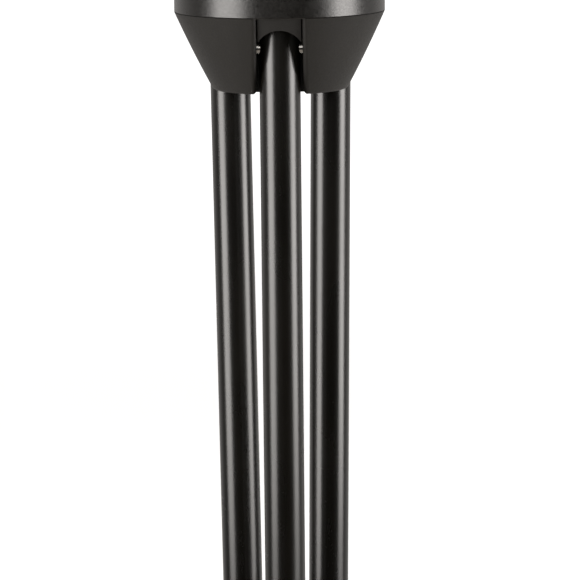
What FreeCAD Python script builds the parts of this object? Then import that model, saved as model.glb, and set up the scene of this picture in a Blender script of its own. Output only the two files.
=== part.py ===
"""Folding in-bell trumpet stand.

A velour-covered peg stands on a round two-part hub.  Three tubular legs hang from pins inside
the hub and swing outward through slots in its conical lower half.  The model is at rest with
its legs folded down, standing on its feet: +Z is up, the origin is under the middle of the hub
at floor level, and the front leg is on the -Y side.
"""
import FreeCAD, Part
import math
import os

import Sketcher

# ---------------------------------------------------------------------------
# Driving dimensions: millimetres and degrees
# ---------------------------------------------------------------------------
DIMENSIONS = {
    # hub, measured from the seam between its two halves
    "hub_radius": 26.0,
    "band_height": 9.5,
    "cone_height": 19.2,
    "rim_radius": 16.6,
    "cone_bow_radius": 275.0,
    "rim_round": 1.2,
    "edge_round": 0.3,
    "shoulder_round": 1.6,
    "core_radius": 9.2,
    "slot_top_width": 11.1,
    "slot_bottom_width": 11.5,
    "slot_edge_round": 0.9,
    "well_inner_radius": 9.5,
    "well_outer_radius": 20.5,
    "well_depth": 6.0,
    "spigot_radius": 8.0,
    "spigot_height": 2.0,
    # arched tongue of the upper half, over each slot
    "tongue_gap": 0.3,
    "tongue_setback": 1.3,
    "tongue_inner": 21.0,
    "tongue_face_depth": 11.4,
    "tongue_face_reach": 4.0,
    "arch_top": 3.0,
    "arch_radius": 6.0,
    # hinge
    "leg_count": 3.0,
    "pin_circle_radius": 14.6,
    "pin_depth": 7.8,
    "pin_diameter": 3.0,
    "pin_length": 21.0,
    "running_gap": 0.05,
    "tube_hole_gap": 0.2,
    "keeper_gap": 0.1,
    "keeper_setback": 0.6,
    "opening_angle": 55.0,
    "folded_lean": 0.8,
    "stop_gap": 0.15,
    # legs
    "tube_diameter": 10.0,
    "tube_wall": 1.0,
    "pin_height": 163.7,
    "plug_length": 26.0,
    "foot_diameter": 12.8,
    "foot_length": 24.0,
    "sole_thickness": 6.5,
    "foot_round": 0.9,
    "grip_depth": 0.5,
    "grip_width": 1.2,
    "grip_spacing": 3.2,
    "bevel_start": 2.0,
    "trim_allowance": 2.0,
    # peg, measured from the top of the hub
    "collar_radius": 24.8,
    "collar_height": 4.0,
    "collar_round": 1.2,
    "foot_ring_radius": 20.4,
    "fit_gap": 0.1,
    "core_base_radius": 22.3,
    "core_waist_radius": 21.8,
    "core_top_radius": 11.0,
    "waist_height": 46.0,
    "core_height": 126.0,
    "core_wall": 2.2,
    "core_floor": 5.0,
    "floor_taper": 1.0,
    "boss_radius": 8.0,
    "boss_height": 18.0,
    "cover_thickness": 1.3,
    "tip_height": 6.5,
    "tip_rim": 1.2,
    "tip_plug_depth": 9.0,
    "tip_plug_chamfer": 1.0,
    # fastening
    "bolt_diameter": 6.0,
    "bolt_hole_radius": 3.2,
    "bolt_length": 35.0,
    "bolt_chamfer": 0.6,
    "head_diameter": 10.0,
    "head_height": 6.0,
    "hex_flats": 5.0,
    "hex_depth": 3.2,
    "counterbore_radius": 6.2,
    "washer_radius": 5.9,
    "washer_thickness": 1.2,
    "insert_radius": 4.5,
    "insert_height": 13.0,
    # how far a cut runs on past the face it opens
    "overcut": 1.0,
}

LEGS = {"front": -90.0, "right": 30.0, "left": 150.0}
GRIP_RINGS = 3
HEX_SIDES = 6

# Tolerances for picking edges and for noticing that a feature changed nothing
SAME_RADIUS = 0.01
FLAT_SPREAD = 0.1
SMALLEST_CHANGE = 0.01


# ---------------------------------------------------------------------------
# Sizes that carry their spreadsheet expression with them
# ---------------------------------------------------------------------------
class Size:
    """A number together with the spreadsheet expression it comes from."""

    def __init__(self, number, text):
        self.number = float(number)
        self.text = text

    def __add__(self, other):
        other = as_size(other)
        return Size(self.number + other.number, f"({self.text} + {other.text})")

    def __sub__(self, other):
        other = as_size(other)
        return Size(self.number - other.number, f"({self.text} - {other.text})")

    def __mul__(self, other):
        other = as_size(other)
        return Size(self.number * other.number, f"{self.text} * {other.text}")

    def __truediv__(self, other):
        other = as_size(other)
        return Size(self.number / other.number, f"{self.text} / ({other.text})")

    def __neg__(self):
        return Size(-self.number, f"(0 - {self.text})")


def as_size(value):
    """Wrap a plain number, so that it can stand in a sum of sizes."""
    return value if isinstance(value, Size) else Size(value, repr(float(value)))


def sine(angle):
    """Sine of an angle in degrees."""
    return Size(math.sin(math.radians(angle.number)), f"sin({angle.text})")


def cosine(angle):
    """Cosine of an angle in degrees."""
    return Size(math.cos(math.radians(angle.number)), f"cos({angle.text})")


def tangent(angle):
    """Tangent of an angle in degrees."""
    return Size(math.tan(math.radians(angle.number)), f"tan({angle.text})")


class Dimensions:
    """The spreadsheet's cells, each as a Size under its own alias."""

    def __init__(self, document, table):
        sheet = document.addObject("Spreadsheet::Sheet", "Dims")
        for row, (alias, value) in enumerate(table.items(), start=1):
            sheet.set(f"A{row}", alias)
            sheet.set(f"B{row}", str(value))
            sheet.setAlias(f"B{row}", alias)
            setattr(self, alias, Size(value, f"Dims.{alias}"))
        document.recompute()


doc = FreeCAD.newDocument("trumpet_stand")
dim = Dimensions(doc, DIMENSIONS)

tube_radius = dim.tube_diameter / 2
pin_radius = dim.pin_diameter / 2
seam_height = dim.pin_height + dim.pin_depth
hub_top_height = seam_height + dim.band_height
leg_length = dim.pin_height / cosine(dim.folded_lean)
swing = dim.opening_angle - dim.folded_lean


# ---------------------------------------------------------------------------
# Modelling helpers
# ---------------------------------------------------------------------------
def bind(feature, path, size):
    """Drive one property, or one sketch constraint, from the spreadsheet."""
    feature.setExpression(path, as_size(size).text)


def new_body(name):
    """An empty body whose label is the sub-part's name."""
    body = doc.addObject("PartDesign::Body", name)
    body.Label = name
    return body


def origin_feature(body, role):
    """One of the body's own origin planes or axes."""
    return next(item for item in body.Origin.OriginFeatures if item.Role == role)


def new_sketch(body, name, plane, lift=None):
    """An empty sketch on one of the body's origin planes, lifted along its normal."""
    sketch = body.newObject("Sketcher::SketchObject", name)
    sketch.AttachmentSupport = [(origin_feature(body, plane), "")]
    sketch.MapMode = "FlatFace"
    if lift is not None:
        sketch.AttachmentOffset = FreeCAD.Placement(
            FreeCAD.Vector(0, 0, lift.number), FreeCAD.Rotation()
        )
        bind(sketch, "AttachmentOffset.Base.z", lift)
    return sketch


def edge_between(start, end, bend):
    """Line, or minor arc of the given radius and turn, between two corners."""
    x0, y0 = start[0].number, start[1].number
    x1, y1 = end[0].number, end[1].number
    first = FreeCAD.Vector(x0, y0, 0)
    last = FreeCAD.Vector(x1, y1, 0)
    if bend is None:
        return Part.LineSegment(first, last), 1, 2
    radius, turn = bend[0].number, bend[1]
    chord = last - first
    rise = math.sqrt(max(radius ** 2 - chord.Length ** 2 / 4, 0.0))
    side = FreeCAD.Vector(-chord.y, chord.x, 0).normalize() * rise
    centre = (first + last) / 2 + (side if turn == "left" else -side)
    circle = Part.Circle(centre, FreeCAD.Vector(0, 0, 1), radius)
    start_angle = math.atan2(y0 - centre.y, x0 - centre.x)
    end_angle = math.atan2(y1 - centre.y, x1 - centre.x)
    if turn == "left":
        return Part.ArcOfCircle(circle, start_angle, end_angle), 1, 2
    return Part.ArcOfCircle(circle, end_angle, start_angle), 2, 1


def draw_outline(sketch, corners):
    """Draw a closed outline.

    Each corner is (x, y), or (x, y, (radius, turn)) where the edge that leaves it is an arc
    turning left or right.
    """
    corners = [(as_size(c[0]), as_size(c[1])) + tuple(c[2:]) for c in corners]
    ends = []
    for index, corner in enumerate(corners):
        bend = corner[2] if len(corner) > 2 else None
        edge, first, last = edge_between(corner, corners[(index + 1) % len(corners)], bend)
        ends.append((sketch.addGeometry(edge), first, last))
    for index, (edge, first, last) in enumerate(ends):
        following, start, _ = ends[(index + 1) % len(ends)]
        sketch.addConstraint(Sketcher.Constraint("Coincident", edge, last, following, start))
    for index, (edge, first, last) in enumerate(ends):
        for kind, size in zip(("DistanceX", "DistanceY"), corners[index]):
            name = f"{kind}_{index}"
            rule = Sketcher.Constraint(kind, -1, 1, edge, first, size.number)
            sketch.renameConstraint(sketch.addConstraint(rule), name)
            bind(sketch, f"Constraints.{name}", size)
        if len(corners[index]) > 2:
            radius = corners[index][2][0]
            name = f"Radius_{index}"
            rule = Sketcher.Constraint("Radius", edge, radius.number)
            sketch.renameConstraint(sketch.addConstraint(rule), name)
            bind(sketch, f"Constraints.{name}", radius)


def draw_circle(sketch, x, y, radius):
    """Draw a circle with its centre and radius driven by the spreadsheet."""
    x, y, radius = as_size(x), as_size(y), as_size(radius)
    circle = Part.Circle(FreeCAD.Vector(x.number, y.number, 0), FreeCAD.Vector(0, 0, 1), radius.number)
    edge = sketch.addGeometry(circle)
    rules = {
        "CentreX": (Sketcher.Constraint("DistanceX", -1, 1, edge, 3, x.number), x),
        "CentreY": (Sketcher.Constraint("DistanceY", -1, 1, edge, 3, y.number), y),
        "Radius": (Sketcher.Constraint("Radius", edge, radius.number), radius),
    }
    for label, (rule, size) in rules.items():
        name = f"{label}_{edge}"
        sketch.renameConstraint(sketch.addConstraint(rule), name)
        bind(sketch, f"Constraints.{name}", size)


def revolve(body, name, corners):
    """Turn an outline of (radius, height) corners about the body's Z axis."""
    sketch = new_sketch(body, name + "_profile", "XZ_Plane")
    draw_outline(sketch, corners)
    feature = body.newObject("PartDesign::Revolution", name)
    feature.Profile = sketch
    feature.ReferenceAxis = (sketch, ["V_Axis"])
    feature.Angle = 360
    doc.recompute()
    return feature


def groove(body, name, corners):
    """Cut away the ring that an outline of (radius, height) corners sweeps."""
    sketch = new_sketch(body, name + "_profile", "XZ_Plane")
    draw_outline(sketch, corners)
    feature = body.newObject("PartDesign::Groove", name)
    feature.Profile = sketch
    feature.ReferenceAxis = (sketch, ["V_Axis"])
    feature.Angle = 360
    doc.recompute()
    return feature


def extrude(body, kind, name, sketch, length=None, symmetric=False, reverse=False):
    """Pad or pocket a sketch; a pocket with no length goes through everything."""
    before = body.Shape.Volume if body.Tip else 0.0
    feature = body.newObject(f"PartDesign::{kind}", name)
    feature.Profile = sketch
    feature.SideType = "Symmetric" if symmetric else "One side"
    feature.Reversed = reverse
    if length is None:
        feature.Type = "ThroughAll"
    else:
        feature.Length = as_size(length).number
        bind(feature, "Length", length)
    doc.recompute()
    change = body.Shape.Volume - before
    if (kind == "Pocket") != (change < 0) or abs(change) < SMALLEST_CHANGE:
        raise RuntimeError(f"{body.Label}: {name} changed the volume by {change:.3f}")
    return feature


def around(body, name, features):
    """Repeat features for each leg around the body's Z axis."""
    pattern = body.newObject("PartDesign::PolarPattern", name)
    pattern.Originals = features
    pattern.Axis = (origin_feature(body, "Z_Axis"), [""])
    pattern.Angle = 360
    pattern.Occurrences = int(dim.leg_count.number)
    bind(pattern, "Occurrences", dim.leg_count)
    body.Tip = pattern
    doc.recompute()
    return pattern


def round_edges(body, name, radius, wanted):
    """Fillet every edge of the body's tip that the wanted function accepts."""
    base = body.Tip
    edges = enumerate(base.Shape.Edges, start=1)
    names = [f"Edge{number}" for number, edge in edges if wanted(edge)]
    feature = body.newObject("PartDesign::Fillet", name)
    feature.Base = (base, names)
    feature.Radius = radius.number
    bind(feature, "Radius", radius)
    doc.recompute()
    return feature


def raise_to(body, height):
    """Put a hub or peg piece at its height on the hub's axis."""
    body.Placement = FreeCAD.Placement(FreeCAD.Vector(0, 0, height.number), FreeCAD.Rotation())
    bind(body, "Placement.Base.z", height)


def hang_leg_piece(body, azimuth):
    """Place a leg piece, made with its pin at the origin and outward along +X, on its pin."""
    turn = FreeCAD.Rotation(FreeCAD.Vector(0, 0, 1), azimuth)
    lean = FreeCAD.Rotation(FreeCAD.Vector(0, 1, 0), dim.folded_lean.number)
    reach = turn.multVec(FreeCAD.Vector(dim.pin_circle_radius.number, 0, 0))
    reach.z = dim.pin_height.number
    body.Placement = FreeCAD.Placement(reach, turn.multiply(lean))


# ---------------------------------------------------------------------------
# Hub
# ---------------------------------------------------------------------------
def slot_side(height):
    """Half width of a leg slot at a height above the seam (the slot widens downward)."""
    growth = (dim.slot_bottom_width - dim.slot_top_width) / 2
    return dim.slot_top_width / 2 - growth * height / dim.cone_height


def make_hub_base():
    """Conical lower half: three open leg slots and seats for the pins."""
    body = new_body("hub_base")
    floor = -dim.cone_height
    seat = floor + dim.head_height + dim.washer_thickness
    revolve(body, "cone", [
        (dim.bolt_hole_radius, 0),
        (dim.bolt_hole_radius, seat),
        (dim.counterbore_radius, seat),
        (dim.counterbore_radius, floor),
        (dim.rim_radius, floor, (dim.cone_bow_radius, "left")),
        (dim.hub_radius, 0),
    ])

    slot = new_sketch(body, "slot_front_view", "XZ_Plane", dim.core_radius)
    above = dim.overcut
    below = floor - dim.overcut
    draw_outline(slot, [
        (-slot_side(above), above),
        (slot_side(above), above),
        (slot_side(below), below),
        (-slot_side(below), below),
    ])
    leg_slot = extrude(body, "Pocket", "leg_slot", slot, reverse=True)

    trench = new_sketch(body, "pin_trench_side_view", "YZ_Plane")
    draw_outline(trench, [
        (-(dim.pin_circle_radius - pin_radius), dim.overcut),
        (-(dim.pin_circle_radius + pin_radius), dim.overcut),
        (-(dim.pin_circle_radius + pin_radius), -dim.pin_depth),
        (-(dim.pin_circle_radius - pin_radius), -dim.pin_depth),
    ])
    pin_trench = extrude(body, "Pocket", "pin_trench", trench, dim.pin_length, symmetric=True)

    cradle = new_sketch(body, "pin_cradle_side_view", "YZ_Plane")
    draw_circle(cradle, -dim.pin_circle_radius, -dim.pin_depth, pin_radius)
    pin_cradle = extrude(body, "Pocket", "pin_cradle", cradle, dim.pin_length, symmetric=True)

    around(body, "slots_and_cradles", [leg_slot, pin_trench, pin_cradle])
    round_edges(body, "slot_edges", dim.slot_edge_round, is_slot_mouth_edge)
    round_edges(body, "rim", dim.rim_round, is_rim_edge)
    raise_to(body, seam_height)


def is_rim_edge(edge):
    """One of the arcs of the cone's lower outer circle, between two slots."""
    circle = isinstance(edge.Curve, Part.Circle)
    return circle and abs(edge.Curve.Radius - dim.rim_radius.number) < SAME_RADIUS


def is_slot_mouth_edge(edge):
    """A tall curved edge that lies across both X and Y: a slot's side meeting the cone."""
    box = edge.BoundBox
    tall = box.ZLength > dim.cone_height.number / 2
    slanted = min(box.XLength, box.YLength) > FLAT_SPREAD
    return tall and slanted and not isinstance(edge.Curve, Part.Line)


def make_hub_cap():
    """Upper half: the plain band, the peg's seat, and what closes the three slots from above."""
    body = new_body("hub_cap")
    top = dim.band_height
    floor = top - dim.well_depth
    spigot_top = top + dim.spigot_height
    revolve(body, "band", [
        (dim.bolt_hole_radius, 0),
        (dim.hub_radius - dim.edge_round, 0, (dim.edge_round, "left")),
        (dim.hub_radius, dim.edge_round),
        (dim.hub_radius, top - dim.shoulder_round, (dim.shoulder_round, "left")),
        (dim.hub_radius - dim.shoulder_round, top),
        (dim.well_outer_radius, top),
        (dim.well_outer_radius, floor),
        (dim.well_inner_radius, floor),
        (dim.well_inner_radius, top),
        (dim.spigot_radius, top),
        (dim.spigot_radius, spigot_top),
        (dim.bolt_hole_radius, spigot_top),
    ])

    # The tongue fills the slot's mouth down to its arch, set back a little from the cone.
    side = dim.slot_top_width / 2 - dim.tongue_gap
    tongue = new_sketch(body, "tongue_front_view", "XZ_Plane", dim.tongue_inner)
    spring = arch_height(side)
    draw_outline(tongue, [
        (-side, 0),
        (-side, spring, (dim.arch_radius, "right")),
        (side, spring),
        (side, 0),
    ])
    reach = dim.hub_radius - dim.tongue_inner
    arched_tongue = extrude(body, "Pad", "tongue", tongue, reach)

    # Two ribs press the pin down into its cradle.
    keepers = []
    for name, sign in (("right", 1), ("left", -1)):
        sketch = new_sketch(body, f"keeper_{name}_plan", "XY_Plane")
        inner = (dim.slot_top_width / 2 + dim.keeper_setback) * sign
        outer = (dim.pin_length / 2 - dim.keeper_gap) * sign
        near = -(dim.pin_circle_radius - pin_radius + dim.keeper_gap)
        far = -(dim.pin_circle_radius + pin_radius - dim.keeper_gap)
        draw_outline(sketch, [(inner, near), (outer, near), (outer, far), (inner, far)])
        drop = dim.pin_depth - pin_radius - dim.keeper_gap
        keepers.append(extrude(body, "Pad", f"keeper_{name}", sketch, drop, reverse=True))

    # A wedge behind the pin stops the open leg: its face lies flat against the leg's square top.
    wedge = new_sketch(body, "stop_side_view", "YZ_Plane")
    stop_distance = tube_radius + dim.stop_gap
    low_out = -stop_distance * sine(swing)
    low_up = stop_distance * cosine(swing)
    slope_run = (dim.pin_depth - low_up) / tangent(swing)
    back = -(dim.core_radius + dim.fit_gap)
    pin_line = -dim.pin_circle_radius
    draw_outline(wedge, [
        (pin_line - low_out - slope_run, 0),
        (pin_line - low_out, low_up - dim.pin_depth),
        (back, low_up - dim.pin_depth),
        (back, 0),
    ])
    wedge_width = dim.slot_top_width - dim.tongue_gap * 2
    open_stop = extrude(body, "Pad", "open_stop", wedge, wedge_width, symmetric=True)

    around(body, "slot_closures", [arched_tongue, *keepers, open_stop])

    slope = (dim.hub_radius - dim.rim_radius) / dim.cone_height
    lip = dim.hub_radius - dim.tongue_setback
    depth = dim.tongue_face_depth
    outside = dim.hub_radius + dim.tongue_face_reach
    groove(body, "tongue_face", [
        (lip, 0),
        (lip - slope * depth, -depth),
        (outside, -depth),
        (outside, 0),
    ])
    raise_to(body, seam_height)


def arch_height(side):
    """Height, below the seam, of the tongue's arch where it meets the tongue's sides."""
    rise = math.sqrt(dim.arch_radius.number ** 2 - side.number ** 2)
    text = f"sqrt({dim.arch_radius.text} ^ 2 - ({side.text}) ^ 2)"
    return Size(rise, text) - dim.arch_radius - dim.arch_top


# ---------------------------------------------------------------------------
# Legs: made with the pin's axis along Y through the origin and outward along +X
# ---------------------------------------------------------------------------
def cut_head(body):
    """Round the leg's top about its pin on the inner side; the outer side stays square."""
    head = new_sketch(body, "head_side_view", "XZ_Plane")
    clear = tube_radius + dim.overcut
    draw_outline(head, [
        (-clear, 0),
        (-tube_radius, 0, (tube_radius, "right")),
        (0, tube_radius),
        (0, clear),
        (-clear, clear),
    ])
    extrude(body, "Pocket", "rounded_head", head, dim.tube_diameter * 2, symmetric=True)


def drill_pin_hole(body, radius):
    """Cross hole for the pin."""
    hole = new_sketch(body, "pin_hole_side_view", "XZ_Plane")
    draw_circle(hole, 0, 0, radius)
    extrude(body, "Pocket", "pin_hole", hole, dim.tube_diameter * 2, symmetric=True)


def make_leg_tube(side, azimuth):
    """Steel tube, from the square top above the pin down into the foot."""
    body = new_body(f"leg_tube_{side}")
    bottom = dim.sole_thickness - leg_length
    ring = new_sketch(body, "ring_plan", "XY_Plane", bottom)
    draw_circle(ring, 0, 0, tube_radius)
    draw_circle(ring, 0, 0, tube_radius - dim.tube_wall)
    extrude(body, "Pad", "tube", ring, tube_radius - bottom)
    cut_head(body)
    drill_pin_hole(body, pin_radius + dim.tube_hole_gap)
    hang_leg_piece(body, azimuth)


def make_leg_plug(side, azimuth):
    """Nylon plug in the tube's top end, with the bore that turns on the pin."""
    body = new_body(f"leg_plug_{side}")
    disc = new_sketch(body, "disc_plan", "XY_Plane", -dim.plug_length)
    draw_circle(disc, 0, 0, tube_radius - dim.tube_wall)
    extrude(body, "Pad", "plug", disc, dim.plug_length + tube_radius)
    cut_head(body)
    drill_pin_hole(body, pin_radius + dim.running_gap)
    hang_leg_piece(body, azimuth)


def make_foot_cap(side, azimuth):
    """Rubber cap with grip rings: one sole for the folded stand and one for the open stand."""
    body = new_body(f"foot_cap_{side}")
    outer = dim.foot_diameter / 2
    low = -(leg_length + dim.trim_allowance)
    top = dim.foot_length - leg_length
    inside = dim.sole_thickness - leg_length
    corners = [(0, low), (outer, low)]
    for rings_above in range(GRIP_RINGS, 0, -1):
        middle = top - dim.grip_spacing * rings_above
        corners += [
            (outer, middle - dim.grip_width / 2),
            (outer - dim.grip_depth, middle),
            (outer, middle + dim.grip_width / 2),
        ]
    corners += [
        (outer, top - dim.foot_round, (dim.foot_round, "left")),
        (outer - dim.foot_round, top),
        (tube_radius, top),
        (tube_radius, inside),
        (0, inside),
    ]
    revolve(body, "cup", corners)

    # Level sole for the folded stand: the leg leans in, so the cut leans back by as much.
    reach = outer + dim.trim_allowance
    waste = low - dim.trim_allowance
    tilt = tangent(dim.folded_lean)
    level = new_sketch(body, "folded_sole_side_view", "XZ_Plane")
    draw_outline(level, [
        (-reach, -leg_length - reach * tilt),
        (reach, -leg_length + reach * tilt),
        (reach, waste),
        (-reach, waste),
    ])
    extrude(body, "Pocket", "folded_sole", level, dim.foot_diameter * 2, symmetric=True)

    # Bevelled sole on the inner side, level when the leg is open.
    bevel = new_sketch(body, "open_sole_side_view", "XZ_Plane")
    start = -dim.bevel_start
    draw_outline(bevel, [
        (start, -leg_length + start * tilt),
        (-reach, -leg_length + start * tilt + (reach + start) * tangent(swing)),
        (-reach, waste),
        (start, waste),
    ])
    extrude(body, "Pocket", "open_sole", bevel, dim.foot_diameter * 2, symmetric=True)
    hang_leg_piece(body, azimuth)


def make_hinge_pin(side, azimuth):
    """Plain steel pin, lying in its cradles across the slot."""
    pin = doc.addObject("Part::Cylinder", f"hinge_pin_{side}")
    pin.Label = f"hinge_pin_{side}"
    bind(pin, "Radius", pin_radius)
    bind(pin, "Height", dim.pin_length)
    turn = FreeCAD.Rotation(FreeCAD.Vector(0, 0, 1), azimuth)
    lay_down = FreeCAD.Rotation(FreeCAD.Vector(1, 0, 0), -90)
    start = turn.multVec(
        FreeCAD.Vector(dim.pin_circle_radius.number, -dim.pin_length.number / 2, 0)
    )
    start.z = dim.pin_height.number
    pin.Placement = FreeCAD.Placement(start, turn.multiply(lay_down))


# ---------------------------------------------------------------------------
# Peg: heights are measured from the top of the hub
# ---------------------------------------------------------------------------
def ogive_radius(top_radius, base_radius):
    """Radius of the arc that leaves the waist upright and ends at the peg's top."""
    rise = dim.core_height - dim.waist_height
    draw_in = base_radius - top_radius
    return (rise * rise + draw_in * draw_in) / (draw_in * 2)


def make_peg_core():
    """Hollow moulded peg, with a boss for the threaded insert."""
    body = new_body("peg_core")
    base, waist, top = dim.core_base_radius, dim.core_waist_radius, dim.core_top_radius
    wall = dim.core_wall
    bend = ogive_radius(top, waist)
    inner_bend = ogive_radius(top - wall, waist - wall)
    socket = dim.spigot_height + dim.fit_gap
    revolve(body, "peg", [
        (dim.spigot_radius + dim.fit_gap, 0),
        (dim.foot_ring_radius, 0),
        (dim.foot_ring_radius, dim.collar_height),
        (base, dim.collar_height),
        (waist, dim.waist_height, (bend, "left")),
        (top, dim.core_height),
        (top - wall, dim.core_height, (inner_bend, "right")),
        (waist - wall, dim.waist_height),
        (base - wall - dim.floor_taper, dim.core_floor),
        (dim.boss_radius, dim.core_floor),
        (dim.boss_radius, dim.boss_height),
        (dim.insert_radius, dim.boss_height),
        (dim.insert_radius, socket),
        (dim.spigot_radius + dim.fit_gap, socket),
    ])
    raise_to(body, hub_top_height)


def make_peg_cover():
    """Velour sleeve over the peg, from the collar to the tip."""
    body = new_body("peg_cover")
    base, waist, top = dim.core_base_radius, dim.core_waist_radius, dim.core_top_radius
    skin = dim.cover_thickness
    bend = ogive_radius(top, waist)
    revolve(body, "sleeve", [
        (base, dim.collar_height),
        (base + skin, dim.collar_height),
        (waist + skin, dim.waist_height, (bend, "left")),
        (top + skin, dim.core_height),
        (top, dim.core_height, (bend, "right")),
        (waist, dim.waist_height),
    ])
    raise_to(body, hub_top_height)


def make_peg_collar():
    """Ring under the sleeve's lower edge, trapped between the peg and the hub."""
    body = new_body("peg_collar")
    bore = dim.foot_ring_radius + dim.fit_gap
    revolve(body, "ring", [
        (bore, 0),
        (dim.collar_radius, 0),
        (dim.collar_radius, dim.collar_height - dim.collar_round, (dim.collar_round, "left")),
        (dim.collar_radius - dim.collar_round, dim.collar_height),
        (bore, dim.collar_height),
    ])
    raise_to(body, hub_top_height)


def make_peg_tip():
    """Rounded button that plugs the peg's open top and covers the sleeve's upper edge."""
    body = new_body("peg_tip")
    brim = dim.core_top_radius + dim.cover_thickness
    plug = dim.core_top_radius - dim.core_wall - dim.fit_gap * 2
    low = dim.core_height
    top = low + dim.tip_height
    crown = dim.tip_height - dim.tip_rim
    dome = (brim * brim + crown * crown) / (crown * 2)
    revolve(body, "button", [
        (0, low - dim.tip_plug_depth),
        (plug - dim.tip_plug_chamfer, low - dim.tip_plug_depth),
        (plug, low - dim.tip_plug_depth + dim.tip_plug_chamfer),
        (plug, low),
        (brim, low),
        (brim, low + dim.tip_rim, (dome, "left")),
        (0, top),
    ])
    raise_to(body, hub_top_height)


# ---------------------------------------------------------------------------
# Fastening through the middle: heights are measured from the seam
# ---------------------------------------------------------------------------
def make_central_bolt():
    """Socket-head bolt: its head is sunk in the hub's underside."""
    body = new_body("central_bolt")
    floor = -dim.cone_height
    shoulder = floor + dim.head_height
    end = shoulder + dim.bolt_length
    shank = dim.bolt_diameter / 2
    head = dim.head_diameter / 2
    chamfer = dim.bolt_chamfer
    revolve(body, "bolt", [
        (0, floor),
        (head - chamfer, floor),
        (head, floor + chamfer),
        (head, shoulder),
        (shank, shoulder),
        (shank, end - chamfer),
        (shank - chamfer, end),
        (0, end),
    ])
    socket = new_sketch(body, "hex_plan", "XY_Plane", floor)
    corner = dim.hex_flats / 2 / cosine(as_size(180 / HEX_SIDES))
    spokes = [as_size(360 / HEX_SIDES * step) for step in range(HEX_SIDES)]
    draw_outline(socket, [(corner * cosine(spoke), corner * sine(spoke)) for spoke in spokes])
    extrude(body, "Pocket", "hex_socket", socket, dim.hex_depth, reverse=True)
    raise_to(body, seam_height)


def make_ring(name, outer, inner, height, level):
    """Plain ring about the hub's axis."""
    disc = doc.addObject("Part::Cylinder", name + "_disc")
    bind(disc, "Radius", outer)
    bind(disc, "Height", height)
    hole = doc.addObject("Part::Cylinder", name + "_hole")
    bind(hole, "Radius", inner)
    bind(hole, "Height", height)
    ring = doc.addObject("Part::Cut", name)
    ring.Label = name
    ring.Base = disc
    ring.Tool = hole
    raise_to(ring, level)


# ---------------------------------------------------------------------------
# The whole stand
# ---------------------------------------------------------------------------
make_hub_base()
make_hub_cap()
make_central_bolt()
washer_level = seam_height - dim.cone_height + dim.head_height
make_ring("bolt_washer", dim.washer_radius, dim.bolt_hole_radius, dim.washer_thickness, washer_level)
make_peg_core()
make_peg_cover()
make_peg_collar()
make_peg_tip()
insert_level = hub_top_height + dim.spigot_height + dim.fit_gap
make_ring("peg_insert", dim.insert_radius, dim.bolt_diameter / 2, dim.insert_height, insert_level)
for leg, direction in LEGS.items():
    make_leg_tube(leg, direction)
    make_leg_plug(leg, direction)
    make_foot_cap(leg, direction)
    make_hinge_pin(leg, direction)

doc.recompute()


# ---------------------------------------------------------------------------
# Check and write
# ---------------------------------------------------------------------------
def finished_parts():
    """The objects that are sub-parts: every body, pin and ring."""
    names = ["hub_base", "hub_cap", "central_bolt", "bolt_washer"]
    names += ["peg_core", "peg_cover", "peg_collar", "peg_tip", "peg_insert"]
    for piece in ("leg_tube", "leg_plug", "foot_cap", "hinge_pin"):
        names += [f"{piece}_{side}" for side in LEGS]
    return [doc.getObject(name) for name in names]


for item in doc.Objects:
    if "Invalid" in item.State or "Error" in item.State:
        raise RuntimeError(f"{item.Label} failed: {item.State}")

os.makedirs("parts", exist_ok=True)
for part in finished_parts():
    if part.Shape.isNull() or not part.Shape.isValid() or len(part.Shape.Solids) != 1:
        raise RuntimeError(f"{part.Label} is not one valid solid")
    part.Shape.exportStep(f"parts/{part.Label}.step")
    print(f"{part.Label}: {part.Shape.Volume / 1000:.2f} cm3")
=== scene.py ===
"""Looks of the folding trumpet stand: materials, the velour sleeve, light and camera.

Everything is in metres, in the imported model's own frame: the stand is folded and stands on the
floor, its front leg is on the -Y side, and the camera looks along +Y.
"""
import math

import bmesh
import bpy
from mathutils import Matrix, Vector, noise


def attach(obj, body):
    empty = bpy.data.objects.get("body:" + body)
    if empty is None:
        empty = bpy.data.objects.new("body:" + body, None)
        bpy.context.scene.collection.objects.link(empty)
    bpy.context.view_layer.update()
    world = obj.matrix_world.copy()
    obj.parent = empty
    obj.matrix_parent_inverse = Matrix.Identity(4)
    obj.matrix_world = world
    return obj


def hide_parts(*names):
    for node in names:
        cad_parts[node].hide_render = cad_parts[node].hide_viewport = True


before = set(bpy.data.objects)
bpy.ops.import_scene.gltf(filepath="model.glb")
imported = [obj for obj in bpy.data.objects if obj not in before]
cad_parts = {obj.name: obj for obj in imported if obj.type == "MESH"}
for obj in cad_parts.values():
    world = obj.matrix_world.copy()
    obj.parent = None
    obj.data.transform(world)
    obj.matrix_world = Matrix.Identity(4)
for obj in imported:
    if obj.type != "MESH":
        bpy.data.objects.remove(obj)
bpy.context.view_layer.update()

MM = 0.001
SEAM_HEIGHT = 171.5 * MM
SEAM_BLUR = 0.05 * MM
BAND_TOP = 179.5 * MM
BAND_LIP = 0.3 * MM
HUB_RADIUS = 26.0 * MM
LEGS = ("front", "right", "left")


def add_form(name, form, material):
    """Turn a finished bmesh into an object of the scene."""
    mesh = bpy.data.meshes.new(name)
    form.to_mesh(mesh)
    form.free()
    mesh.shade_smooth()
    mesh.materials.append(material)
    piece = bpy.data.objects.new(name, mesh)
    bpy.context.scene.collection.objects.link(piece)
    return piece


# ---------------------------------------------------------------------------
# Camera
# ---------------------------------------------------------------------------
CAMERA_DISTANCE = 0.834
CAMERA_HEIGHT = 0.2405
CAMERA_SIDE = 0.0048
CAMERA_YAW = math.radians(0.21)
CAMERA_PITCH = math.radians(9.46)
CAMERA_ROLL = math.radians(-0.585)
CAMERA_LENS = 209.77
SENSOR_WIDTH = 36.0


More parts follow.
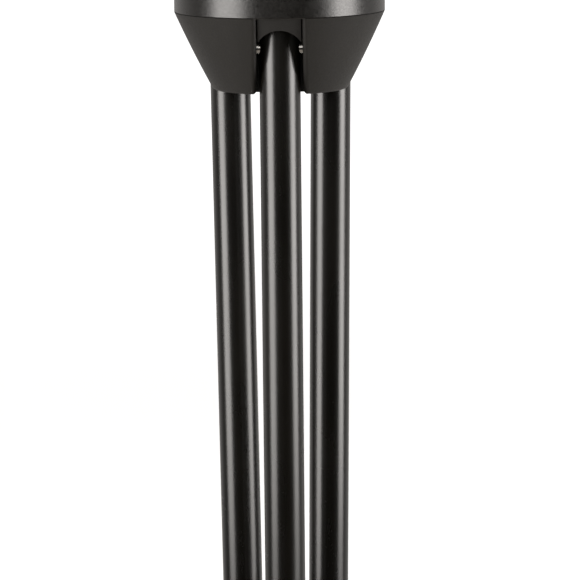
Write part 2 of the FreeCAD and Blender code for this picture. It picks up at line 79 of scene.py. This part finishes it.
def make_camera():
    """A long lens at the height of the hub, looking a little down at the folded legs."""
    data = bpy.data.cameras.new("camera")
    data.lens = CAMERA_LENS
    data.sensor_width = SENSOR_WIDTH
    data.clip_start = 0.05
    data.clip_end = 50.0
    camera = bpy.data.objects.new("camera", data)
    bpy.context.scene.collection.objects.link(camera)
    aim = Matrix.Rotation(CAMERA_YAW, 4, "Z")
    aim = aim @ Matrix.Rotation(math.pi / 2 - CAMERA_PITCH, 4, "X")
    aim = aim @ Matrix.Rotation(CAMERA_ROLL, 4, "Z")
    spot = Matrix.Translation((CAMERA_SIDE, -CAMERA_DISTANCE, CAMERA_HEIGHT))
    camera.matrix_world = spot @ aim
    bpy.context.scene.camera = camera


# ---------------------------------------------------------------------------
# Floor, surroundings and lights
# ---------------------------------------------------------------------------
FLOOR_HALF = 6.0
FLOOR_TONE = (0.62, 0.62, 0.62)
FLOOR_GLOW_NEAR = 0.45
FLOOR_GLOW_FAR = 1.0
FLOOR_GLOW_SPAN = (0.2, 1.2)
WARM = (1.0, 0.965, 0.935)
WARMER = (1.0, 0.90, 0.80)
BACKDROP_GLOW = 1.05
BEHIND_SPAN = (-0.15, 0.75)
BEHIND_GLOW = (0.010, 0.62)
UNDER_SPAN = (-0.50, -0.86)
UNDER_GLOW = (0.0, 0.46)

# Name, azimuth in degrees, height of its middle, width and height, radiance.
SOFTBOXES = (
    ("softbox_left", -58.5, 0.47, (0.56, 1.30), 8.3),
    ("softbox_right", 74.0, 0.48, (0.50, 1.29), 8.9),
    ("front_card", 0.0, 0.56, (0.50, 0.55), 2.3),
)
LIGHT_REACH = 0.90


def make_floor():
    """Plain pale floor: it lights the stand from below, but doesn't mirror in it."""
    form = bmesh.new()
    corners = ((-1, -1), (1, -1), (1, 1), (-1, 1))
    form.faces.new([form.verts.new((x * FLOOR_HALF, y * FLOOR_HALF, 0)) for x, y in corners])
    floor = add_form("floor", form, floor_look())
    floor.visible_glossy = False
    floor.visible_shadow = False


def make_surroundings():
    """White where the camera sees it; as a light, a dim room that is paler behind and below."""
    world = bpy.data.worlds.new("studio")
    bpy.context.scene.world = world
    world.use_nodes = True
    tree = world.node_tree
    tree.nodes.clear()
    output = tree.nodes.new("ShaderNodeOutputWorld")
    mix = tree.nodes.new("ShaderNodeMixShader")
    seen = tree.nodes.new("ShaderNodeLightPath")
    white = tree.nodes.new("ShaderNodeBackground")
    white.inputs["Strength"].default_value = BACKDROP_GLOW
    white.inputs["Color"].default_value = (1, 1, 1, 1)
    place = tree.nodes.new("ShaderNodeTexCoord")
    split = tree.nodes.new("ShaderNodeSeparateXYZ")
    tree.links.new(place.outputs["Generated"], split.inputs[0])
    behind = world_ramp(tree, split.outputs["Y"], BEHIND_SPAN, BEHIND_GLOW)
    under = world_ramp(tree, split.outputs["Z"], UNDER_SPAN, UNDER_GLOW)
    room = tree.nodes.new("ShaderNodeAddShader")
    for index, (strength, colour) in enumerate(((behind, WARM), (under, WARMER))):
        glow = tree.nodes.new("ShaderNodeBackground")
        glow.inputs["Color"].default_value = (*colour, 1)
        tree.links.new(strength, glow.inputs["Strength"])
        tree.links.new(glow.outputs[0], room.inputs[index])
    tree.links.new(seen.outputs["Is Camera Ray"], mix.inputs["Fac"])
    tree.links.new(room.outputs[0], mix.inputs[1])
    tree.links.new(white.outputs[0], mix.inputs[2])
    tree.links.new(mix.outputs[0], output.inputs["Surface"])


def world_ramp(tree, value, span, strengths):
    """Smooth change from the first strength to the second over a span of the value."""
    node = tree.nodes.new("ShaderNodeMapRange")
    node.interpolation_type = "SMOOTHSTEP"
    for name, number in zip(("From Min", "From Max", "To Min", "To Max"), (*span, *strengths)):
        node.inputs[name].default_value = number
    tree.links.new(value, node.inputs["Value"])
    return node.outputs["Result"]


def make_softbox(name, azimuth, middle, size, radiance):
    """Softbox facing the stand's hub; azimuth is counted from the camera's side."""
    width, height = size
    data = bpy.data.lights.new(name, "AREA")
    data.shape = "RECTANGLE"
    data.size = width
    data.size_y = height
    data.energy = radiance * math.pi * width * height
    data.color = WARM
    light = bpy.data.objects.new(name, data)
    bpy.context.scene.collection.objects.link(light)
    turn = math.radians(azimuth)
    spot = Vector((math.sin(turn) * LIGHT_REACH, -math.cos(turn) * LIGHT_REACH, middle))
    light.location = spot
    light.rotation_mode = "QUATERNION"
    inward = Vector((-spot.x, -spot.y, 0))
    light.rotation_quaternion = inward.to_track_quat("-Z", "Y")
    light.visible_camera = False


def make_lights():
    """Two tall softboxes at the sides, and a faint card in front, above the camera."""
    for softbox in SOFTBOXES:
        make_softbox(*softbox)


# ---------------------------------------------------------------------------
# Material building blocks
# ---------------------------------------------------------------------------
class Look:
    """One material: a Principled shader and short calls that add nodes to it."""

    def __init__(self, name):
        self.material = bpy.data.materials.new(name)
        self.material.use_nodes = True
        self.tree = self.material.node_tree
        self.shader = self.tree.nodes["Principled BSDF"]
        self.place = self.tree.nodes.new("ShaderNodeTexCoord").outputs["Object"]

    def link(self, source, target):
        self.tree.links.new(source, target)

    def stretched(self, scale):
        """Object coordinates stretched by a factor along each axis."""
        mapping = self.tree.nodes.new("ShaderNodeMapping")
        mapping.inputs["Scale"].default_value = scale
        self.link(self.place, mapping.inputs["Vector"])
        return mapping.outputs["Vector"]

    def noise(self, size, detail=4.0, roughness=0.55, place=None):
        """Cloudy noise whose features are about size metres across."""
        node = self.tree.nodes.new("ShaderNodeTexNoise")
        node.inputs["Scale"].default_value = 1.0 / size
        node.inputs["Detail"].default_value = detail
        node.inputs["Roughness"].default_value = roughness
        self.link(place or self.place, node.inputs["Vector"])
        return node.outputs["Fac"]

    def cells(self, size):
        """Distance in a cell pattern whose cells are about size metres across."""
        node = self.tree.nodes.new("ShaderNodeTexVoronoi")
        node.inputs["Scale"].default_value = 1.0 / size
        self.link(self.place, node.inputs["Vector"])
        return node.outputs["Distance"]

    def ramp(self, value, low, high, start=0.3, end=0.7):
        """Value between start and end, remapped to between low and high."""
        node = self.tree.nodes.new("ShaderNodeMapRange")
        node.interpolation_type = "SMOOTHSTEP"
        node.inputs["From Min"].default_value = start
        node.inputs["From Max"].default_value = end
        node.inputs["To Min"].default_value = low
        node.inputs["To Max"].default_value = high
        self.link(value, node.inputs["Value"])
        return node.outputs["Result"]

    def math(self, operation, first, second):
        """Two values, or a value and a number, combined."""
        node = self.tree.nodes.new("ShaderNodeMath")
        node.operation = operation
        for socket, value in zip(node.inputs, (first, second)):
            if isinstance(value, (int, float)):
                socket.default_value = value
            else:
                self.link(value, socket)
        return node.outputs["Value"]

    def blend(self, amount, first, second):
        """Mix of two colours, each a tuple or an output."""
        node = self.tree.nodes.new("ShaderNodeMix")
        node.data_type = "RGBA"
        self.link(amount, node.inputs["Factor"])
        for socket, colour in ((node.inputs["A"], first), (node.inputs["B"], second)):
            if isinstance(colour, tuple):
                socket.default_value = (*colour, 1.0)
            else:
                self.link(colour, socket)
        return node.outputs["Result"]

    def tones(self, value, first, second):
        """Colour that runs from the first tone to the second as the value rises."""
        return self.blend(self.ramp(value, 0.0, 1.0), first, second)

    def height(self):
        """Height above the floor, for pieces of the hub."""
        split = self.tree.nodes.new("ShaderNodeSeparateXYZ")
        self.link(self.place, split.inputs[0])
        return split.outputs["Z"]

    def hide_from_behind(self):
        """Clear where a face is seen from its back."""
        side = self.tree.nodes.new("ShaderNodeNewGeometry").outputs["Backfacing"]
        clear = self.tree.nodes.new("ShaderNodeBsdfTransparent")
        mix = self.tree.nodes.new("ShaderNodeMixShader")
        self.link(side, mix.inputs["Fac"])
        self.link(self.shader.outputs[0], mix.inputs[1])
        self.link(clear.outputs[0], mix.inputs[2])
        self.link(mix.outputs[0], self.tree.nodes["Material Output"].inputs["Surface"])

    def colour(self, value):
        self.link(value, self.shader.inputs["Base Color"])

    def roughness(self, value):
        self.link(value, self.shader.inputs["Roughness"])

    def bump(self, value, depth):
        """Relief of depth metres; each call adds to the one before."""
        node = self.tree.nodes.new("ShaderNodeBump")
        node.inputs["Distance"].default_value = depth
        self.link(value, node.inputs["Height"])
        normal = self.shader.inputs["Normal"]
        if normal.is_linked:
            self.link(normal.links[0].from_socket, node.inputs["Normal"])
        self.link(node.outputs["Normal"], normal)

    def drum_normal(self, radius, bottom, top, lip):
        """Shading normal of an upright drum, approximate on its lower lip; elsewhere the mesh's."""
        nodes = self.tree.nodes
        split = nodes.new("ShaderNodeSeparateXYZ")
        self.link(self.place, split.inputs[0])
        across, along, height = split.outputs
        down = self.math("MULTIPLY", self.math("SUBTRACT", bottom + lip, height), -1.0 / lip)
        down = self.math("MINIMUM", down, 0.0)
        outward = nodes.new("ShaderNodeCombineXYZ")
        self.link(self.math("MULTIPLY", across, 1.0 / radius), outward.inputs["X"])
        self.link(self.math("MULTIPLY", along, 1.0 / radius), outward.inputs["Y"])
        self.link(down, outward.inputs["Z"])
        turn = nodes.new("ShaderNodeVectorTransform")
        turn.vector_type = "NORMAL"
        turn.convert_from = "OBJECT"
        turn.convert_to = "WORLD"
        self.link(outward.outputs[0], turn.inputs[0])
        squares = (self.math("MULTIPLY", across, across), self.math("MULTIPLY", along, along))
        outside = self.math("GREATER_THAN", self.math("ADD", *squares), (radius - lip) ** 2)
        above = self.math("GREATER_THAN", height, bottom)
        below = self.ramp(height, 1.0, 0.0, top - lip, top)
        mask = self.math("MULTIPLY", outside, self.math("MULTIPLY", above, below))
        mesh = nodes.new("ShaderNodeNewGeometry").outputs["Normal"]
        unit = nodes.new("ShaderNodeVectorMath")
        unit.operation = "NORMALIZE"
        self.link(self.blend(mask, mesh, turn.outputs[0]), unit.inputs[0])
        self.link(unit.outputs[0], self.shader.inputs["Normal"])

    def set(self, **values):
        """Numbers that are the same all over the surface, set on the shader itself."""
        for name, value in values.items():
            self.shader.inputs[name.replace("_", " ")].default_value = value


# ---------------------------------------------------------------------------
# Materials
# ---------------------------------------------------------------------------
def floor_look():
    """Pale paper that glows more with distance, and is clear when seen from below."""
    look = Look("floor_paper")
    look.set(Roughness=0.9, Base_Color=(*FLOOR_TONE, 1), Emission_Color=(1, 1, 1, 1))
    away = look.tree.nodes.new("ShaderNodeVectorMath")
    away.operation = "LENGTH"
    look.link(look.place, away.inputs[0])
    glow = look.ramp(away.outputs["Value"], FLOOR_GLOW_NEAR, FLOOR_GLOW_FAR, *FLOOR_GLOW_SPAN)
    look.link(glow, look.shader.inputs["Emission Strength"])
    look.hide_from_behind()
    return look.material


def hub_cap_look():
    """Black moulded plastic: satin and finely grained on the band, matt on the tongues below."""
    look = Look("hub_cap_plastic")
    grain = look.noise(0.55 * MM, detail=4.0, roughness=0.65)
    cloud = look.noise(9 * MM, detail=3.0)
    height = look.height()
    band = look.ramp(height, 0.0, 1.0, SEAM_HEIGHT - SEAM_BLUR, SEAM_HEIGHT + SEAM_BLUR)
    satin = look.tones(grain, (0.0006, 0.0004, 0.0001), (0.0018, 0.0013, 0.0005))
    look.colour(look.blend(band, (0.0012, 0.0009, 0.0004), satin))
    finish = look.math("ADD", look.ramp(grain, 0.28, 0.36), look.ramp(cloud, -0.02, 0.02))
    matt = look.math("MULTIPLY", look.math("SUBTRACT", 1.0, band), 0.28)
    look.roughness(look.math("ADD", finish, matt))
    look.drum_normal(HUB_RADIUS, SEAM_HEIGHT, BAND_TOP, BAND_LIP)
    look.bump(grain, 0.022 * MM)
    look.set(IOR=1.6)
    return look.material


def hub_base_look():
    """Black glass-filled plastic, matt, with faint flow marks."""
    look = Look("hub_base_plastic")
    grain = look.noise(0.50 * MM, detail=4.0, roughness=0.6)
    flow = look.noise(7 * MM, detail=4.0, place=look.stretched((1.0, 1.0, 0.35)))
    tone = look.tones(flow, (0.0030, 0.0024, 0.0015), (0.0046, 0.0038, 0.0026))
    look.colour(tone)
    look.roughness(look.ramp(grain, 0.50, 0.62))
    look.bump(grain, 0.022 * MM)
    look.set(IOR=1.47)
    return look.material


def tube_look():
    """Black satin powder coat: nearly smooth, with a slight orange peel."""
    look = Look("tube_paint")
    peel = look.noise(1.3 * MM, detail=2.0, roughness=0.4)
    cloud = look.noise(14 * MM, detail=2.0, place=look.stretched((1.0, 1.0, 0.3)))
    rubs = look.noise(3 * MM, detail=5.0, roughness=0.7, place=look.stretched((1.0, 1.0, 0.25)))
    tone = look.tones(cloud, (0.0008, 0.0006, 0.0002), (0.0016, 0.0012, 0.0005))
    look.colour(tone)
    worn = look.ramp(rubs, 0.0, 0.03, 0.55, 0.75)
    look.roughness(look.math("ADD", look.ramp(cloud, 0.255, 0.285), worn))
    look.bump(peel, 0.0018 * MM)
    look.set(IOR=1.6)
    return look.material


def pin_look():
    """Bright ground steel with fine marks around the pin."""
    look = Look("pin_steel")
    marks = look.noise(0.12 * MM, detail=3.0, place=look.stretched((1.0, 0.25, 0.25)))
    look.colour(look.tones(marks, (0.40, 0.39, 0.37), (0.58, 0.57, 0.54)))
    look.roughness(look.ramp(marks, 0.16, 0.30))
    look.bump(marks, 0.003 * MM)
    look.set(Metallic=1.0)
    return look.material


def nylon_look():
    """Black nylon of the leg plugs."""
    look = Look("plug_nylon")
    grain = look.noise(0.5 * MM)
    look.colour(look.tones(grain, (0.006, 0.006, 0.006), (0.012, 0.012, 0.011)))
    look.roughness(look.ramp(grain, 0.5, 0.62))
    look.bump(grain, 0.01 * MM)
    look.set(IOR=1.53)
    return look.material


def rubber_look():
    """Moulded rubber, greyer with dust where it stands proud."""
    look = Look("foot_rubber")
    pores = look.noise(0.4 * MM, detail=5.0, roughness=0.7)
    dust = look.noise(5 * MM, detail=5.0)
    dusty = look.math("MULTIPLY", look.ramp(dust, 0.0, 0.7, 0.45, 0.75), look.ramp(pores, 0.3, 1.0))
    look.colour(look.blend(dusty, (0.012, 0.012, 0.012), (0.045, 0.043, 0.040)))
    look.roughness(look.ramp(pores, 0.68, 0.9))
    look.bump(pores, 0.03 * MM)
    look.set(IOR=1.5)
    return look.material


def velour_look():
    """Black velour: a dense short pile, brushed in patches that get lighter tones as painted sheen,
    and whose shader sheen catches light at its edges.
    """
    look = Look("velour")
    pile = look.noise(0.30 * MM, detail=4.0, roughness=0.75)
    tufts = look.cells(0.60 * MM)
    brushing = look.stretched((1.0, 1.0, 0.38))
    strokes = look.noise(3.2 * MM, detail=5.0, roughness=0.65, place=brushing)
    nap = look.noise(13 * MM, detail=4.0, roughness=0.6, place=look.stretched((1.0, 1.0, 0.5)))
    patches = look.math("ADD", nap, look.math("MULTIPLY", strokes, 0.8))
    # Painted sheen: the brushed patches of laid pile get the lighter tones below, standing in for
    # the light the pile catches.
    brushed_sheen = look.ramp(patches, 0.0, 1.0, 0.72, 1.06)
    deep = look.tones(pile, (0.0012, 0.0012, 0.0014), (0.0075, 0.0073, 0.0078))
    light = look.tones(pile, (0.0060, 0.0060, 0.0066), (0.0240, 0.0235, 0.0245))
    look.colour(look.blend(brushed_sheen, deep, light))
    look.roughness(look.ramp(strokes, 0.78, 0.98))
    look.bump(nap, 0.20 * MM)
    look.bump(strokes, 0.14 * MM)
    look.bump(tufts, 0.20 * MM)
    look.bump(pile, 0.20 * MM)
    look.set(IOR=1.3, Sheen_Weight=0.40, Sheen_Roughness=0.35, Sheen_Tint=(0.42, 0.41, 0.43, 1.0))
    return look.material


def thread_look():
    """Black sewing thread of the sleeve's seam."""
    look = Look("seam_thread")
    twist = look.noise(0.15 * MM, detail=2.0, place=look.stretched((1.0, 1.0, 0.4)))
    look.colour(look.tones(twist, (0.010, 0.010, 0.011), (0.030, 0.030, 0.033)))
    look.roughness(look.ramp(twist, 0.5, 0.7))
    look.bump(twist, 0.03 * MM)
    return look.material


def collar_look():
    """Black satin plastic of the collar, with fine turning marks."""
    look = Look("collar_plastic")
    rings = look.noise(0.30 * MM, detail=2.0, place=look.stretched((0.02, 0.02, 1.0)))
    smudge = look.noise(8 * MM, detail=4.0)
    look.colour(look.tones(smudge, (0.006, 0.006, 0.006), (0.010, 0.010, 0.0095)))
    look.roughness(look.math("ADD", look.ramp(rings, 0.22, 0.28), look.ramp(smudge, -0.03, 0.05)))
    look.bump(rings, 0.004 * MM)
    look.set(IOR=1.5)
    return look.material


def tip_look():
    """Black grained plastic of the tip and the peg's core."""
    look = Look("tip_plastic")
    grain = look.cells(0.55 * MM)
    wear = look.noise(4 * MM, detail=4.0)
    worn = look.ramp(wear, 0.0, 1.0, 0.5, 0.75)
    look.colour(look.blend(worn, (0.008, 0.008, 0.008), (0.018, 0.018, 0.017)))
    pits = look.ramp(grain, 0.5, 0.38, 0.0, 0.8)
    look.roughness(look.math("ADD", pits, look.ramp(wear, 0.0, -0.08)))
    look.bump(grain, 0.05 * MM)
    look.set(IOR=1.5)
    return look.material


def zinc_look():
    """Zinc-plated steel of the bolt and its washer."""
    look = Look("zinc_steel")
    spangle = look.noise(2 * MM, detail=4.0)
    marks = look.noise(0.15 * MM, detail=2.0)
    look.colour(look.tones(spangle, (0.46, 0.47, 0.50), (0.66, 0.67, 0.70)))
    look.roughness(look.math("ADD", look.ramp(spangle, 0.25, 0.38), look.ramp(marks, -0.04, 0.04)))
    look.bump(marks, 0.006 * MM)
    look.set(Metallic=1.0)
    return look.material


def brass_look():
    """Turned brass of the threaded insert."""
    look = Look("brass_insert")
    rings = look.noise(0.2 * MM, detail=2.0, place=look.stretched((0.02, 0.02, 1.0)))
    look.colour(look.tones(rings, (0.58, 0.42, 0.16), (0.74, 0.57, 0.27)))
    look.roughness(look.ramp(rings, 0.2, 0.34))
    look.bump(rings, 0.006 * MM)
    look.set(Metallic=1.0)
    return look.material


def paint(node, material):
    """Give a CAD node its material."""
    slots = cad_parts[node].data.materials
    if not slots:
        slots.append(material)
    for index in range(len(slots)):
        slots[index] = material


def paint_cad_nodes():
    """Every CAD node that shows, or that could be seen when a cover is off."""
    paint("hub_cap", hub_cap_look())
    paint("hub_base", hub_base_look())
    tip = tip_look()
    zinc = zinc_look()
    looks = {
        "leg_tube": tube_look(),
        "leg_plug": nylon_look(),
        "foot_cap": rubber_look(),
        "hinge_pin": pin_look(),
    }
    for piece, material in looks.items():
        for side in LEGS:
            paint(f"{piece}_{side}", material)
    paint("peg_collar", collar_look())
    paint("peg_tip", tip)
    paint("peg_core", tip)
    paint("central_bolt", zinc)
    paint("bolt_washer", zinc)
    paint("peg_insert", brass_look())


# ---------------------------------------------------------------------------
# Velour sleeve
# ---------------------------------------------------------------------------
SLEEVE_BOTTOM = 185.0 * MM
WAIST_HEIGHT = 227.0 * MM
SLEEVE_TOP = 307.0 * MM
BASE_RADIUS = 23.6 * MM
WAIST_RADIUS = 23.1 * MM
TOP_RADIUS = 12.3 * MM
DRAW_IN = WAIST_RADIUS - TOP_RADIUS
BEND_RADIUS = ((SLEEVE_TOP - WAIST_HEIGHT) ** 2 + DRAW_IN ** 2) / (2 * DRAW_IN)
SLEEVE_COLUMNS = 264
SLEEVE_ROWS = 170
SLEEVE_THICKNESS = 1.3 * MM
COLLAR_GAP = 0.15 * MM
EASE = 0.25 * MM
HEM_ROUND = 0.9 * MM
HEM_HEIGHT = 5.0 * MM
HEM_SWELL = 0.50 * MM
HEM_CREASE = 0.45 * MM
CREASE_WIDTH = 0.7 * MM
GATHER_HEIGHT = 15.0 * MM
GATHER_COUNT = 22
GATHER_DEPTH = 0.45 * MM
SEAM_WIDTH = 1.3 * MM
SEAM_DEPTH = 0.55 * MM
SEAM_SIDE = math.radians(90.0)
SEAM_RADIUS = 22.0 * MM
SHOULDER_RISE = 0.16 * MM
SHOULDER_REACH = 1.6 * MM
SHOULDER_WIDTH = 1.0 * MM
SOFTNESS = 0.22 * MM
SOFT_LENGTH = 30 * MM
STITCH_PITCH = 3.2 * MM
STITCH_LENGTH = 2.5 * MM
STITCH_RADIUS = 0.22 * MM
STITCH_RISE = 0.10 * MM


def smooth_step(value):
    """0 below 0, 1 above 1, and an S-shaped rise between."""
    value = min(max(value, 0.0), 1.0)
    return value * value * (3.0 - 2.0 * value)


def bulge(offset, width):
    """Bell-shaped hump: 1 where the offset is 0, and falling away over the width."""
    return math.exp(-((offset / width) ** 2))


def sleeve_radius(height):
    """Plain outer radius of the sleeve: nearly straight to the waist, then an arc that leans in."""
    if height < WAIST_HEIGHT:
        share = (height - SLEEVE_BOTTOM) / (WAIST_HEIGHT - SLEEVE_BOTTOM)
        return BASE_RADIUS + (WAIST_RADIUS - BASE_RADIUS) * share
    rise = height - WAIST_HEIGHT
    return WAIST_RADIUS - (BEND_RADIUS - math.sqrt(BEND_RADIUS ** 2 - rise ** 2))


def sleeve_relief(angle, height):
    """How far the sleeve stands out from its plain form: hem, gathers, seam and softness."""
    hem = HEM_SWELL * bulge(height - SLEEVE_BOTTOM - HEM_HEIGHT / 2, HEM_HEIGHT / 2.6)
    crease = -HEM_CREASE * bulge(height - SLEEVE_BOTTOM - HEM_HEIGHT, CREASE_WIDTH)
    gathered = smooth_step(1.0 - (SLEEVE_TOP - height) / GATHER_HEIGHT)
    ripple = math.sin(angle * GATHER_COUNT + 1.1 * math.sin(angle * 3.0))
    reach = 0.75 + 0.25 * math.sin(angle * 7.0)
    gathers = gathered * reach * GATHER_DEPTH * (ripple - 0.8)
    away = abs((angle - SEAM_SIDE + math.pi) % (2 * math.pi) - math.pi) * SEAM_RADIUS
    seam = -SEAM_DEPTH * bulge(away, SEAM_WIDTH / 2)
    shoulder = SHOULDER_RISE * bulge(away - SHOULDER_REACH, SHOULDER_WIDTH)
    spot = Vector((math.cos(angle), math.sin(angle), height / SOFT_LENGTH))
    soft = (noise.noise(spot * 1.7) + 0.5 * noise.noise(spot * 4.5)) * SOFTNESS
    return hem + crease + gathers + seam + shoulder + soft


def make_sleeve():
    """The sewn velour sleeve, stretched over the peg's core."""
    form = bmesh.new()
    outside = []
    inside = []
    first = SLEEVE_BOTTOM + COLLAR_GAP
    for row in range(SLEEVE_ROWS + 1):
        height = first + (SLEEVE_TOP - first) * row / SLEEVE_ROWS
        plain = sleeve_radius(height) - EASE
        rounding = HEM_ROUND / 2 * (1.0 - smooth_step((height - first) / HEM_ROUND))
        outer_ring = []
        inner_ring = []
        for column in range(SLEEVE_COLUMNS):
            angle = 2 * math.pi * column / SLEEVE_COLUMNS
            radius = plain - rounding + sleeve_relief(angle, height)
            side = (math.cos(angle), math.sin(angle))
            outer_ring.append(form.verts.new((side[0] * radius, side[1] * radius, height)))
            radius = plain + EASE - SLEEVE_THICKNESS
            inner_ring.append(form.verts.new((side[0] * radius, side[1] * radius, height)))
        outside.append(outer_ring)
        inside.append(inner_ring)
    for column in range(SLEEVE_COLUMNS):
        after = (column + 1) % SLEEVE_COLUMNS
        for lower, upper in zip(outside, outside[1:]):
            form.faces.new((lower[column], lower[after], upper[after], upper[column]))
        for lower, upper in zip(inside, inside[1:]):
            form.faces.new((lower[after], lower[column], upper[column], upper[after]))
        for first_ring, last_ring in ((inside[0], outside[0]), (outside[-1], inside[-1])):
            rim = (first_ring[column], first_ring[after], last_ring[after], last_ring[column])
            form.faces.new(rim)
    sleeve = add_form("velour_sleeve", form, velour_look())
    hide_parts("peg_cover")
    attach(sleeve, "hub")


def make_stitches():
    """Thread of the sleeve: one line of stitches up the seam and one around the hem."""
    form = bmesh.new()
    seam_length = SLEEVE_TOP - SLEEVE_BOTTOM - HEM_HEIGHT - GATHER_HEIGHT
    for index in range(int(seam_length / STITCH_PITCH)):
        height = SLEEVE_BOTTOM + HEM_HEIGHT + STITCH_PITCH * (index + 0.5)
        radius = sleeve_radius(height) - EASE - SEAM_DEPTH + STITCH_RADIUS
        slope = (sleeve_radius(height + MM) - sleeve_radius(height - MM)) / (2 * MM)
        outward = Vector((math.cos(SEAM_SIDE), math.sin(SEAM_SIDE), 0))
        along = (outward * slope + Vector((0, 0, 1))).normalized()
        add_stitch(form, outward * radius + Vector((0, 0, height)), along, outward)
    height = SLEEVE_BOTTOM + HEM_HEIGHT
    radius = sleeve_radius(height) - EASE - HEM_CREASE + STITCH_RADIUS
    count = int(2 * math.pi * radius / STITCH_PITCH)
    for index in range(count):
        turn = 2 * math.pi * (index + 0.5) / count
        outward = Vector((math.cos(turn), math.sin(turn), 0))
        along = Vector((-math.sin(turn), math.cos(turn), 0))
        add_stitch(form, outward * radius + Vector((0, 0, height)), along, outward)
    stitches = add_form("sleeve_stitches", form, thread_look())
    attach(stitches, "hub")


def add_stitch(form, centre, along, outward):
    """One stitch: a short rounded thread that dips into the cloth at both ends."""
    steps, sides = 10, 8
    across = along.cross(outward)
    rings = []
    for step in range(steps + 1):
        share = step / steps - 0.5
        girth = STITCH_RADIUS * math.sqrt(max(1.0 - (2 * share) ** 4, 0.02))
        rise = STITCH_RISE * math.cos(math.pi * share)
        middle = centre + along * (share * STITCH_LENGTH) + outward * rise
        ring = []
        for side in range(sides):
            turn = 2 * math.pi * side / sides
            offset = across * (math.cos(turn) * girth) + outward * (math.sin(turn) * girth)
            ring.append(form.verts.new(middle + offset))
        rings.append(ring)
    for lower, upper in zip(rings, rings[1:]):
        for side in range(sides):
            after = (side + 1) % sides
            form.faces.new((lower[side], lower[after], upper[after], upper[side]))
    form.faces.new(list(reversed(rings[0])))
    form.faces.new(rings[-1])


# ---------------------------------------------------------------------------
# The whole scene
# ---------------------------------------------------------------------------
make_camera()
make_floor()
make_surroundings()
make_lights()
paint_cad_nodes()
make_sleeve()
make_stitches()

bpy.context.scene.view_settings.view_transform = "Standard"
